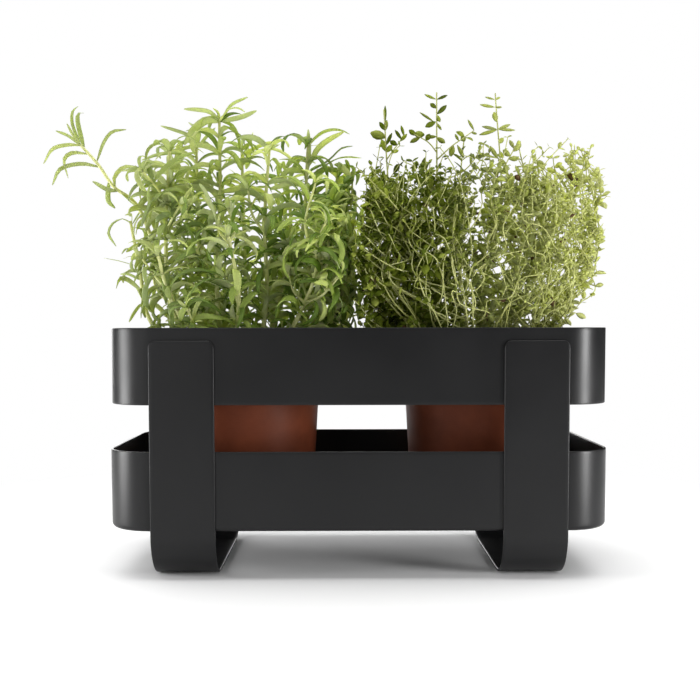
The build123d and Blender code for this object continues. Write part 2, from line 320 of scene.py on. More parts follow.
def rounded_outline(length, depth, inset):
    """Points round a rectangle with rounded corners, drawn in by inset. The count never changes."""
    lead = 0.003
    arc_steps = 20
    points = []
    for sx, sy, first in ((1, 1, 0), (-1, 1, 90), (-1, -1, 180), (1, -1, 270)):
        cx, cy = sx * (length / 2 - CORNER), sy * (depth / 2 - CORNER)
        r = CORNER - inset
        start, end = radians(first), radians(first + 90)
        turns = [start + (end - start) * i / arc_steps for i in range(arc_steps + 1)]
        arc = [(cx + r * cos(t), cy + r * sin(t)) for t in turns]
        (start_x, start_y), (end_x, end_y) = arc[0], arc[-1]
        points.append((start_x + lead * sin(start), start_y - lead * cos(start)))
        points += arc
        points.append((end_x - lead * sin(end), end_y + lead * cos(end)))
    return points


def rounded_edge(z, way):
    """Inset and height of points over a sheet's edge at z, from the outer face to the inner one."""
    outer = [(EDGE - EDGE * c, z - way * EDGE + way * EDGE * s) for c, s in quarter(4)]
    return outer + [(SHEET - inset, height) for inset, height in reversed(outer)]


def swept_band(name, node, profile, looped):
    """A profile of inset and height carried round a band's rounded outline."""
    low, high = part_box(node)
    length, depth = high.x - low.x, high.y - low.y
    rows = [[(x, y, z) for x, y in rounded_outline(length, depth, inset)] for inset, z in profile]
    points = [p for row in rows for p in row]
    piece(name, points, skin(len(rows), len(rows[0]), looped), [coat], "frame", node)


def build_ring():
    """The open upper band: a bent sheet with softly rounded edges."""
    bottom, top = ring_low.z, ring_high.z
    profile = [(0.0, bottom + EDGE + SUPPORT), (0.0, (bottom + top) / 2), (0.0, top - EDGE - SUPPORT)]
    profile += rounded_edge(top, 1)
    profile += [(SHEET, top - EDGE - SUPPORT), (SHEET, bottom + EDGE + SUPPORT)]
    profile += reversed(rounded_edge(bottom, -1))
    swept_band("ring_band", "upper_ring", profile, True)


def build_tray():
    """The lower band: a drawn tray with a round bend between wall and floor."""
    bottom, top = tray_low.z, tray_high.z
    flat = TRAY_BEND + 0.004

    def bend(radius, base, wall):
        return [(wall + radius - radius * s, base + radius - radius * c) for c, s in quarter(10)]

    profile = [(flat, bottom)] + bend(TRAY_BEND, bottom, 0.0)
    profile += [(0.0, bottom + TRAY_BEND + SUPPORT), (0.0, top - EDGE - SUPPORT)]
    profile += rounded_edge(top, 1)
    profile += [(SHEET, top - EDGE - SUPPORT), (SHEET, bottom + TRAY_BEND + SUPPORT)]
    profile += reversed(bend(TRAY_BEND - SHEET, bottom + SHEET, SHEET))
    profile += [(flat, bottom + SHEET)]
    swept_band("tray_band", "lower_tray", profile, False)


def strap_path():
    """Stations down the front, under the tray and up the back: y, z, the outward normal, and end distance."""
    reach = -leg_low.y - STRAP_SHEET
    top = leg_high.z
    bend_z = STRAP_SHEET + STRAP_BEND
    foot_y = reach - STRAP_BEND
    far_from_end = 1.0
    end_steps = (0.0, 0.0003, 0.0008, 0.0015, 0.0025, 0.0037, 0.005, 0.0065)
    heights = [top - d for d in end_steps] + [top - 0.03, 0.10, bend_z + 0.02, bend_z + 0.003]
    stations = [(-reach, z, (-1.0, 0.0), top - z) for z in heights]
    for c, s in quarter(18):
        stations.append((-foot_y - STRAP_BEND * c, bend_z - STRAP_BEND * s, (-c, -s), far_from_end))
    stations += [(y, STRAP_SHEET, (0.0, -1.0), far_from_end) for y in (-foot_y + 0.003, 0.0)]
    back = [(-y, z, (-out[0], out[1]), end) for y, z, out, end in reversed(stations[:-1])]
    return stations + back


def build_leg(side_name):
    """A flat strap bent into a U: rounded long edges, and rounded corners at both ends."""
    low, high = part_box(side_name + "_leg")
    centre, half = (low.x + high.x) / 2, (high.x - low.x) / 2
    corner = [(STRAP_EDGE - STRAP_EDGE * c, STRAP_EDGE - STRAP_EDGE * s) for c, s in quarter(3)]
    flat = 4 * STRAP_EDGE
    path = strap_path()
    points = []
    for y, z, out, end in path:
        width = half
        if end < STRAP_CORNER:
            width -= STRAP_CORNER - sqrt(STRAP_CORNER ** 2 - (STRAP_CORNER - end) ** 2)
        thin = STRAP_EDGE - sqrt(STRAP_EDGE ** 2 - max(0.0, STRAP_EDGE - end) ** 2)
        face = [(-width + inset, rise) for inset, rise in corner]
        face += [(-width + flat, 0.0), (width - flat, 0.0)]
        face += [(width - inset, rise) for inset, rise in reversed(corner)]
        section = [(across, rise + thin) for across, rise in face]
        section += [(-across, STRAP_SHEET - rise - thin) for across, rise in face]
        for across, through in section:
            points.append((centre + across, y + out[0] * through, z + out[1] * through))
    faces = skin(len(path), len(section))
    piece(side_name + "_strap", points, faces, [coat], "frame", side_name + "_leg")


def round_row(centre_x, radius, heights):
    """Points round a pot's axis, one at each of the heights."""
    turns = [2 * pi * i / len(heights) for i in range(len(heights))]
    return [(centre_x + radius * cos(t), radius * sin(t), z) for t, z in zip(turns, heights)]


def build_pot(side_name):
    """A moulded nursery pot: tapered wall, rolled collar and a foot ring."""
    centre_x, base, top = pots[side_name]
    height = top - base
    taper = (POT_TOP_RADIUS - POT_BASE_RADIUS) / height
    collar = POT_TOP_RADIUS + POT_RIM_STEP
    collar_base = height - POT_RIM_HEIGHT
    mouth = POT_TOP_RADIUS - POT_WALL
    sides = 96

    def wall(z, inset=0.0):
        return (POT_BASE_RADIUS + taper * z - inset, z)

    profile = [
        (0.02, 0.002), (0.047, 0.002), (0.0487, 0.002), (0.049, 0.0016), (0.049, 0.0006), (0.0496, 0.0),
        (0.0544, 0.0), (0.055, 0.0006), wall(0.003), wall(0.03), wall(0.07), wall(collar_base - 0.002),
        (wall(collar_base)[0], collar_base - 0.0003), (collar - 0.0008, collar_base),
        (collar - 0.0001, collar_base + 0.0006), (collar, collar_base + 0.002), (collar, height - 0.002),
        (collar - 0.0002, height - 0.0006), (collar - 0.0008, height), (mouth + 0.0006, height),
        (mouth, height - 0.0006), wall(height - 0.003, POT_WALL), wall(0.06, POT_WALL), wall(0.006, POT_WALL),
        wall(0.004, POT_WALL + 0.001), (0.045, 0.0038), (0.02, 0.0038),
    ]
    points = [p for radius, z in profile for p in round_row(centre_x, radius, [base + z] * sides)]
    name, body = side_name + "_nursery_pot", side_name + "_herb"
    piece(name, points, skin(len(profile), sides), [plastic], body, side_name + "_pot")


def build_soil(side_name, seed):
    """Lumpy peat filling the pot, its top crumbled and a little uneven."""
    centre_x = pots[side_name][0]
    low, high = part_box(side_name + "_soil")
    rng = np.random.default_rng(seed)
    sides, rings = 72, 16
    lump, rim_drop = 0.0022, 0.0012
    top_radius = (high.x - low.x) / 2 - 0.0006
    base_radius = POT_BASE_RADIUS - POT_WALL - 0.0008
    points = []
    for r in range(1, rings + 1):
        drops = [rng.uniform(0.0, lump) if r < rings else rim_drop for _ in range(sides)]
        points += round_row(centre_x, top_radius * (r / rings), [high.z - drop for drop in drops])
    points += round_row(centre_x, base_radius, [low.z + 0.001] * sides)
    name, body = side_name + "_peat", side_name + "_herb"
    piece(name, points, skin(rings + 1, sides), [soil], body, side_name + "_soil")


# How far the plants keep from the model's box, the other herb, the ring and the soil's edge, and how
# high over the soil that edge counts
BOX_GAP = 0.0008
BOX_SIDE_GAP = 0.001
DIVIDE_GAP = 0.0015
RING_GAP = 0.003
RING_TOP_GAP = 0.0025
SOIL_GAP = 0.002
POT_MOUTH_REACH = 0.012
# How far to the right the herbs' meeting place moves for each metre back
DIVIDE_SLANT = 0.15

# Directions that no stem runs in, which fix the ones across it
ANY_ASIDE = (0.31, 0.95, 0.07)
ROSEMARY_ASIDE = (0.2, 0.97, 0.1)
THYME_ASIDE = (0.3, 0.9, 0.2)


def unit(v):
    return v / max(norm(v), 1e-9)


def swung(start, end, angle):
    """The direction an angle away from start, on the way to end."""
    return start * cos(angle) + end * sin(angle)


def across_stem(run, aside):
    """Two directions at right angles to a stem's run."""
    across = unit(np.cross(run, aside))
    return across, np.cross(run, across)


def degrees(rng, low, high):
    """A random angle from a range in degrees."""
    return radians(rng.uniform(low, high))


def step_lengths(line):
    return norm(np.diff(line, axis=0), axis=1)


def smooth_line(knots, count):
    """Evenly spaced points on a smooth curve through knots."""
    knots = [np.array(k, float) for k in knots]
    padded = [2 * knots[0] - knots[1]] + knots + [2 * knots[-1] - knots[-2]]
    steps = 12
    dense = []
    for a, b, c, d in zip(padded, padded[1:], padded[2:], padded[3:]):
        for k in range(steps):
            t = k / steps
            dense.append(0.5 * (2 * b + (c - a) * t + (2 * a - 5 * b + 4 * c - d) * t ** 2
                                + (3 * b - a - 3 * c + d) * t ** 3))
    dense = np.array(dense + [knots[-1]])
    run = np.concatenate([[0], np.cumsum(step_lengths(dense))])
    wanted = np.linspace(0, run[-1], count)
    return np.stack([np.interp(wanted, run, dense[:, k]) for k in range(3)], axis=1)


def divide_at(y):
    """The X at which the two herbs meet, which lies further right towards the back."""
    return divide_x + DIVIDE_SLANT * y


def inside_ring(x, y):
    """Whether a place lies inside the ring, clear of it."""
    dx = max(abs(x) - (ring_high.x - CORNER), 0)
    dy = max(abs(y) - (ring_high.y - CORNER), 0)
    return hypot(dx, dy) < CORNER - SHEET - RING_GAP


def seen_at(px, py, y):
    """The point at depth y that the photograph shows at a pixel."""
    middle = FRAME_PIXELS / 2
    ray = TURN @ Vector(((px - middle) / FOCAL_PIXELS, (middle + PRINCIPAL_DROP - py) / FOCAL_PIXELS, -1.0))
    return np.array(EYE + ray * ((y - EYE.y) / ray.y))


def nearest_on(line, pixel):
    """The place on a line that the photograph's view shows nearest to a pixel."""
    away = [norm(seen_at(*pixel, point[1]) - point) for point in line]
    return line[int(np.argmin(away))]


def node_at(line, share):
    """A place on a line, and the line's direction there."""
    at = share * (len(line) - 1)
    i = min(int(at), len(line) - 2)
    base = line[i] + (line[i + 1] - line[i]) * (at - i)
    return base, unit(line[min(i + 2, len(line) - 1)] - line[max(i - 1, 0)])


class Plant:
    """One herb: where it may grow, and the mesh of the shoot under construction."""

    def __init__(self, side_name, materials, slot):
        self.body = side_name + "_herb"
        self.outward = -1 if side_name == "left" else 1
        self.centre = pots[side_name][0]
        self.materials = materials
        self.slot = slot
        self.clear()

    def clear(self):
        self.points, self.faces, self.marks = [], [], []
        self.count = 0

    def has_room(self, points):
        """Whether points keep inside the model's box, their own half and clear of the ring and pot."""
        for x, y, z in points:
            if not cad_low.x + BOX_GAP < x < cad_high.x - BOX_GAP:
                return False
            if not cad_low.y + BOX_SIDE_GAP < y < cad_high.y - BOX_SIDE_GAP:
                return False
            if z > cad_high.z - BOX_GAP or z < soil_z - SOIL_GAP:
                return False
            if self.outward * (x - divide_at(y)) < DIVIDE_GAP:
                return False
            if z < ring_high.z + RING_TOP_GAP and not inside_ring(x, y):
                return False
            if z < soil_z + POT_MOUTH_REACH and hypot(x - self.centre, y) > soil_radius - SOIL_GAP:
                return False
        return True

    def add(self, points, faces, marks):
        first = self.count
        self.points.append(points)
        self.count += len(points)
        self.faces.extend(tuple(first + i for i in face) for face in faces)
        self.marks.extend(marks)

    def tube(self, line, start_radius, end_radius, sides):
        """A stem along a line, closed at both ends."""
        rows = []
        last = len(line) - 1
        side = None
        for i in range(last + 1):
            run = unit(line[min(i + 1, last)] - line[max(i - 1, 0)])
            if side is None:
                side = unit(np.cross(run, ANY_ASIDE))
            side = unit(side - run * np.dot(side, run))
            lift = np.cross(run, side)
            radius = start_radius + (end_radius - start_radius) * i / last
            rows += [line[i] + swung(side, lift, 2 * pi * k / sides) * radius for k in range(sides)]
        faces = skin(last + 1, sides)
        self.add(np.array(rows), faces, [STEM] * len(faces))

    def leaf(self, spine, side, width, form, marks):
        """A closed thin body along a spine, its width along side and its upper face outward."""
        section, outline = form
        run = np.gradient(spine, axis=0)
        run /= norm(run, axis=1)[:, None]
        sides = side - run * (run @ side)[:, None]
        sides /= norm(sides, axis=1)[:, None]
        lifts = np.cross(sides, run)
        across, height = np.array(section).T
        half = (np.array(outline) * width / 2)[:, None, None]
        rows = spine[:, None, :] + half * (
            sides[:, None, :] * across[None, :, None] + lifts[:, None, :] * height[None, :, None]
        )
        stations, columns = len(spine), len(section)
        top, under = marks
        row_marks = [top] * (columns // 2) + [under] * (columns - columns // 2)
        self.add(rows.reshape(-1, 3), skin(stations, columns), row_marks * (stations - 1) + [top, top])

    def blade(self, base, heading, up, length, width, curl, form, marks, twist=0.0, sway=0.0):
        """A leaf that curls away from its upper side as it leaves its stem. True if it had room."""
        stations = len(form[1])
        shares = np.linspace(0, 1, stations)
        heading = unit(heading)
        side = unit(np.cross(heading, up))
        up = np.cross(side, heading)
        bend = curl * shares ** 1.15
        middle = (bend[:-1] + bend[1:]) / 2
        steps = (heading * np.cos(middle)[:, None] - up * np.sin(middle)[:, None]) * length / (stations - 1)
        spine = base + np.concatenate([np.zeros((1, 3)), np.cumsum(steps, axis=0)])
        spine = spine + side * sway * length * (shares ** 2)[:, None]
        if not self.has_room(spine[1:]):
            return False
        self.leaf(spine, swung(side, up, twist), width, form, marks)
        return True

    def placed_leaf(self, numbers, stem, lean, width, form, marks, twist):
        """A leaf that the photograph shows at places in pixels, from near its stem to its tip."""
        seen = pairs(numbers)
        foot = nearest_on(stem, seen[0])
        last = len(seen) - 1
        knots = [seen_at(*pixel, foot[1] + lean * (i / last) ** 1.3) for i, pixel in enumerate(seen)]
        knots[0] = knots[0] + (foot - knots[0]) * 0.75
        spine = smooth_line(knots, len(form[1]))
        if not self.has_room(spine[1:]):
            return
        chord = spine[-1] - spine[0]
        middle = spine[len(spine) // 2] - spine[0]
        side = np.cross(chord, middle)
        if norm(side) < 1e-7:
            side = np.array((0.0, 1.0, 0.0))
        side = unit(side)
        run = unit(chord)
        rise = middle - run * np.dot(middle, run)
        if np.dot(np.cross(side, run), rise) < 0:
            side = -side
        self.leaf(spine, swung(side, np.cross(side, run), twist), width, form, marks)

    def finish_shoot(self, name, node):
        points = np.concatenate(self.points)
        piece(name, points, self.faces, self.materials, self.body, node, self.marks)
        self.clear()


# A rosemary leaf: narrow, blunt, with margins rolled down and a groove along the middle
ROSEMARY_SECTION = (
    (1.0, -0.3), (0.62, 0.02), (0.0, -0.1), (-0.62, 0.02),
    (-1.0, -0.3), (-0.55, -0.34), (0.0, -0.3), (0.55, -0.34),
)
ROSEMARY_FORM = (ROSEMARY_SECTION, (0.34, 0.66, 0.9, 1.0, 1.0, 1.0, 0.96, 0.86, 0.66, 0.26))
ROSEMARY_SMALL = (ROSEMARY_SECTION, (0.4, 0.95, 1.0, 0.85, 0.3))
# A thyme leaf: a short oval, folded a little along the middle
THYME_FORM = (((1.0, 0.12), (0.0, -0.02), (-1.0, 0.12), (0.0, -0.16)), (0.16, 0.74, 1.0, 0.86, 0.2))

# Leaves that stand out against the background: the shoot, the width in millimetres, how many millimetres
# the tip leans back, and places in the photograph from stem to tip, in pixels across and down
PLACED_LEAVES = (
    (1, 4, 6, 98, 161, 103, 143, 112, 131.5, 126, 129.5),
    (1, 4, -18, 98, 168, 81, 163.7, 60, 169, 52.3, 185),
    (1, 3.8, -30, 81.3, 147, 68, 144.7, 52, 149, 43.4, 163.7),
    (1, 4.2, -12, 85.8, 154.8, 72.4, 152.5, 63.5, 160.4, 68, 178.2),
    (1, 4.6, 8, 83.6, 149.2, 78, 124.6, 78, 113.5, 83.6, 113),
    (1, 3.2, 16, 80.2, 144.7, 72.4, 124.6, 72.4, 111.3, 78, 106.3),
    (1, 3, -14, 80.2, 147, 68, 135.8, 55.7, 130.9), (1, 2.8, -6, 80, 146, 73, 135, 66.8, 123.5),
    (1, 4.8, -6, 116, 196, 113.7, 178.2, 126, 166, 151.6, 171.5),
    (1, 5.2, -12, 116, 196, 106, 189.4, 92.5, 181.6), (1, 5.2, 6, 106, 187, 108, 200.5, 115, 208.3),
    (1, 5, -8, 118, 196, 135, 206, 150, 214), (1, 4.2, 10, 140, 209, 150, 196, 163, 195, 170, 205),
    (2, 4.6, -10, 135, 225, 123.7, 218.4, 112.6, 222.9, 108, 234, 116, 246.3),
    (2, 3.6, -6, 135, 249.6, 126, 248.5, 121.5, 254), (2, 4.4, 6, 135, 252, 131.6, 261),
    (2, 2.4, -8, 137, 267.5, 119.3, 260.8, 103.7, 258),
    (2, 4.8, -8, 139.4, 291, 128.2, 279.8, 119.3, 278.7, 116, 288.7),
    (2, 2.8, 8, 139.4, 281, 128.2, 274.2, 120.4, 274.2), (2, 5, -6, 138, 226, 146, 232, 144.5, 267),
    (2, 4, 6, 140, 250, 150.5, 250, 161.7, 255), (2, 3.6, -4, 146, 304, 140, 305, 133.8, 313, 129, 322),
    (2, 5.2, -10, 146, 306, 152, 303, 160, 308, 168, 318), (2, 3.4, -6, 135, 222.9, 131.6, 214, 124.9, 215),
    (2, 3.4, 6, 136, 222, 138, 214, 142, 209), (2, 4.6, 4, 142, 285, 150, 275, 158, 276, 163, 286),
    (3, 3.2, -6, 174, 186, 157, 174, 141, 168, 122, 171),
    (3, 5.2, -8, 177, 272, 172, 267, 165, 271, 162, 286),
    (3, 4.6, -8, 178, 190, 163, 186, 152, 193, 147, 208),
    (3, 4.8, 6, 177, 225, 164, 214, 152, 218, 145, 232),
    (4, 3, -6, 204, 148, 190, 136, 175, 130, 160.6, 125.8),
    (4, 6.2, -10, 202, 156, 178, 152, 158, 153.7, 141.6, 160),
    (4, 4, 6, 203, 168, 184, 168, 168.4, 170.4, 149.4, 175), (4, 3.6, 4, 203, 147, 198, 130, 188.5, 122.4),
    (4, 3, -4, 204, 146, 209, 134, 215.3, 128), (4, 5, 6, 203, 200, 186, 192, 172, 196, 160, 210),
    (5, 3.4, -6, 224, 122, 210, 112, 197, 109.5, 184, 109), (5, 3.2, 6, 224, 119, 231, 104.6, 247.6, 97),
    (5, 4, -4, 225, 122, 242, 117, 256.6, 110.8), (5, 6.4, -10, 223, 122, 206, 120, 192, 131, 184, 144.7),
    (5, 3.2, 6, 226, 120, 232, 125, 238.7, 138, 240, 149), (5, 2.6, 0, 223, 118, 218, 112, 213, 108),
    (5, 4.8, -8, 222, 156, 229, 151, 237, 158, 241, 170),
    (5, 5.4, -18, 220, 192, 196, 187, 168.4, 191.6, 150.5, 205, 144, 216),
    (5, 6.2, -16, 221, 240, 201, 224, 186.3, 225, 174, 236),
    (5, 6.2, -20, 219, 287, 199.6, 278.7, 181.8, 282, 172.9, 294.3),
    (5, 5.8, -14, 222, 192, 243, 188, 262, 192, 275, 204),
    (5, 5.4, -14, 221, 238, 238, 232, 250, 240, 255, 254),
    (6, 4, -8, 250, 156, 271, 148, 289, 156, 301, 171.5), (6, 3.2, 6, 249, 153, 262, 144.7, 277.8, 141.4),
    (6, 3.4, 0, 248, 152, 251, 142, 253, 132.5),
    (7, 5.2, -10, 280, 190, 294, 182, 306, 188, 312, 202),
    (7, 5.4, -12, 272, 250, 256, 238, 243, 243, 238, 258),
    (7, 5.4, -10, 274, 252, 290, 240, 303, 246, 308, 262),
    (8, 3.8, -2, 311, 172, 309, 150, 308.3, 129.5), (8, 4.8, -6, 312, 166, 317, 149, 329, 139, 343.6, 131.8),
    (8, 4.8, 4, 312, 174, 328, 160, 341, 148, 352.5, 146),
    (8, 4.8, 28, 313, 176, 333, 160, 347, 156.5, 361, 158),
    (8, 4.4, -8, 308, 173, 292, 170, 283, 174, 279, 182),
    (8, 6, -10, 311, 206, 328, 193, 342, 190, 350, 198),
    (8, 5.6, -8, 307, 232, 330, 222, 346, 224, 350, 236),
    (10, 4.8, 4, 338, 262, 346, 272, 349, 286, 343, 304),
    (10, 5.2, -8, 338, 236, 324, 226, 312, 230, 306, 244),
)

# The far left stem as the photograph shows it: pixels across and down, and each place's depth in metres
FAR_STEM = ((138, 207, -0.018), (114, 187, -0.021), (98.5, 165, -0.023), (80.5, 145, -0.025))

# The spread and height that the construction gives both herbs
SPREAD = 0.1
HEIGHT = 0.2

# Each shoot as the construction has it, in hundredths: its root in shares of the soil's radius, then
# points up the stem, sideways in shares of the spread and upwards in shares of the height. The first
# shoot goes on as the far left stem
ROSEMARY_SHOOT_SHARES = (
    ((-52, -13), (-60, -16, 42)),
    ((-78, 20), (-75, 10, 22), (-80, 8, 38), (-87, 6, 59)),
    ((-35, -40), (-49, -24, 24), (-54, -26, 50), (-50, -28, 83)),
    ((-28, 37), (-34, 20, 29), (-35, 16, 60), (-36, 14, 88)),
    ((-18, -7), (-18, -8, 30), (-15, -8, 61), (-15, -8, 96)),
    ((2, 43), (1, 26, 29), (0, 24, 59), (-1, 22, 88)),
    ((22, -43), (22, -30, 28), (21, -32, 56), (25, -34, 83)),
    ((35, 7), (32, -8, 32), (48, -12, 53), (53, -14, 86)),
    ((55, 27), (59, 14, 32), (68, 12, 54), (75, 10, 76)),
    ((65, -13), (75, -8, 26), (82, -10, 41), (81, -12, 57)),
    ((-22, 63), (-25, 42, 33), (-45, 46, 60), (-59, 48, 85)),
    ((32, 63), (26, 46, 33), (36, 50, 58), (32, 52, 82)),
    ((-42, -60), (-43, -46, 24), (-50, -52, 33), (-54, -58, 43)),
    ((-5, -70), (3, -50, 24), (2, -56, 36), (-3, -60, 50)),
    ((42, -60), (49, -46, 24), (58, -52, 34), (63, -58, 47)),
)
THYME_SPRIG_SHARES = (
    ((-23, -7), (-41, -4, 32), (-37, -8, 63), (-37, -8, 107)),
    ((4, -17), (-1, -10, 32), (12, -14, 64), (7, -14, 106)),
    ((-39, 13), (-52, 8, 32), (-71, 8, 66), (-77, 6, 102)),
    ((24, 3), (34, 2, 32), (55, 0, 57), (80, 0, 81)),
    ((34, -23), (47, -16, 28), (79, -18, 47), (84, -18, 73)),
    ((-46, -17), (-57, -12, 30), (-84, -14, 47), (-86, -14, 69)),
    ((-53, -37), (-66, -26, 23), (-82, -28, 31), (-86, -28, 42)),
    ((-16, 43), (-24, 30, 33), (-17, 32, 65), (-11, 32, 94)),
    ((11, 47), (23, 32, 33), (43, 36, 64), (34, 36, 90)),
    ((51, 7), (63, 6, 24), (85, 6, 34), (93, 4, 52)),
    ((-16, -50), (-20, -40, 27), (-28, -46, 51), (-48, -48, 75)),
    ((11, -57), (14, -44, 27), (29, -52, 47), (33, -54, 67)),
    ((-36, -53), (-46, -44, 25), (-58, -54, 43), (-66, -58, 60)),
    ((-3, -63), (-8, -50, 24), (-6, -60, 40), (3, -64, 55)),
    ((-33, 53), (-37, 44, 31), (-58, 52, 56), (-65, 54, 80)),
    ((17, 57), (42, 44, 31), (65, 50, 54), (74, 52, 72)),
)

# Leaves at the top and edge of the bush: the sprig, places in pixels along the twig that they stand on,
# none where that is the sprig itself, then each leaf's width in millimetres and its foot and tip in pixels
PLACED_THYME = (
    (3, (), (2.6, 385, 121, 385.2, 105.7), (3.6, 385.5, 129, 379.5, 122), (3.6, 386, 129, 386.8, 120),
     (7.6, 387, 135, 370.5, 132.6), (4.6, 385, 149, 381.5, 139.5), (3, 386, 147, 392, 133),
     (4.2, 386, 152, 392, 145)),
    (3, (388, 158, 395, 148, 404, 136), (2.8, 404, 136, 401, 125.5), (3, 402, 139, 395, 130),
     (3.2, 400, 141, 407, 134), (4.4, 397, 146, 390, 141)),
    (1, (), (2.4, 433.5, 97.6, 424.5, 94.4), (2.4, 438, 98.2, 447.5, 95.2), (1.6, 435, 98, 434.7, 93),
     (3.6, 434.8, 111, 430.3, 103.4), (3.8, 438, 112, 446.6, 105.3), (3.8, 437, 115, 440, 122),
     (4.4, 432.6, 119.6, 425.3, 127), (2, 426, 120.5, 419.7, 112.4), (2.2, 436, 125, 441.5, 130),
     (3, 436, 134, 427, 137), (4.2, 437, 137, 445, 143)),
    (1, (434, 150, 428, 142, 414, 134), (5.6, 412, 134, 424.5, 134.6), (3.6, 420, 138, 410, 142.5),
     (4.4, 426, 141, 430, 134), (4, 416, 136, 409, 130)),
    (1, (440, 160, 452, 146, 462, 139, 474, 130.5), (2.2, 474.4, 130, 467.8, 119.6),
     (4.8, 467, 137, 461, 140.5), (4.8, 452.6, 144, 450.8, 156.5), (3.2, 461, 151, 464, 158),
     (2, 472, 132, 477, 134), (2.2, 458, 141, 455, 134)),
    (2, (), (1.8, 492, 97.2, 485, 97), (1.8, 492, 97.2, 500.4, 97.2), (2.6, 491, 105.4, 480, 104.6),
     (2.2, 492.6, 104.8, 502, 107.2), (5, 494.8, 120.5, 494, 112), (3, 495.4, 129, 482, 126.6),
     (3, 493, 131.2, 479.2, 134.9), (3, 497, 129, 510.2, 124.4), (2.4, 499, 128, 515.2, 130.2),
     (3.4, 491.4, 158.4, 490, 146), (2.2, 489.6, 156.4, 475.8, 152.6), (3.4, 498, 150, 503, 158),
     (3.8, 497, 141, 503.5, 138)),
    (2, (500, 175, 508, 160, 514, 148, 511, 141), (3.8, 513, 148, 509.6, 140), (4.6, 514, 152, 521, 144),
     (5, 511, 156, 503, 150), (4.6, 509, 160, 519, 158), (3.8, 506, 164, 498, 160)),
    (4, (560, 185, 565, 172, 578, 162), (3, 577, 163, 570, 158), (3, 578, 162, 588, 158.4),
     (4.2, 572, 167, 580, 170), (3.6, 566, 172, 559, 165)),
    (4, (556, 190, 556, 172, 553, 158), (2, 553, 158, 546, 156.6), (2, 553, 158, 560, 156),
     (4.4, 555, 168, 562, 163), (4, 555, 172, 547, 168), (4.8, 556, 180, 564, 176)),
    (10, (586, 215, 595, 196, 594, 180), (5.6, 594, 180, 598.6, 167), (3, 595, 190, 602, 186),
     (3.2, 592, 204, 584, 198), (4.2, 588, 211, 597, 206)),
    (10, (580, 250, 586, 238, 591, 232), (6.4, 590, 233, 602.5, 231), (4.8, 585, 240, 578, 234)),
    (10, (576, 290, 582, 280), (5.8, 583, 278, 587, 263), (4.4, 580, 284, 589, 283)),
    (10, (564, 316, 576, 313), (4.6, 576, 314, 585.8, 318), (4, 570, 315, 573, 307)),
)


def of_shoot(table, number):
    """The rows that a table has for one shoot, without the shoot's number."""
    return [row[1:] for row in table if row[0] == number]


def pairs(numbers):
    return list(zip(numbers[::2], numbers[1::2]))


def stem_knots(shares, centre_x):
    """Points up a stem from its row of hundredths."""
    root_x, root_y = (share / 100 * soil_radius for share in shares[0])
    knots = [(centre_x + root_x, root_y, soil_z - 0.001)]
    for x, y, z in shares[1:]:
        knots.append((centre_x + x / 100 * SPREAD, y / 100 * SPREAD, soil_z + z / 100 * HEIGHT))
    return knots


def twig_to(rng, base, end):
    """A bowed line from a stem to a place in the bush."""
    span = end - base
    bow = np.array((rng.uniform(-1, 1), rng.uniform(-1, 1), rng.uniform(-1.4, 0.3)))
    bow -= unit(span) * np.dot(bow, unit(span))
    return smooth_line((base, base + span * 0.45 + bow * 0.16 * norm(span), end), 10)


def spread_twigs(plant, lines, seed, count, pick_end, shortest, longest, rise):
    """Twig lines for each stem, whose tips fill a plant's shape evenly."""
    rng = random.Random(seed)
    nodes = [(n, i) for n, line in enumerate(lines) for i in range(3, len(line) - 2)]
    places = np.array([lines[n][i] for n, i in nodes])
    twigs = [[] for _ in lines]
    made = 0
    too_far = 9.0
    for _ in range(count * 8):
        end = pick_end(rng)
        if end is None or not plant.has_room((end,)):
            continue
        away = norm(places - end, axis=1)
        fair = (places[:, 2] < end[2] - rise) & (away > shortest) & (away < longest)
        if not fair.any():
            continue
        score = np.where(fair, away * np.array([rng.uniform(1.0, 1.7) for _ in away]), too_far)
        pick = int(np.argmin(score))
        line = twig_to(rng, places[pick], end)
        if not plant.has_room(line[2:]):
            continue
        twigs[nodes[pick][0]].append(line)
        made += 1
        if made == count:
            break
    return twigs


# Where a rosemary leaf tries for room: degrees round the stem from its first direction, and the share of
# its length that it keeps
TRIES = ((0, 1.0), (35, 1.0), (-35, 1.0), (70, 0.85), (-70, 0.7), (110, 0.6))


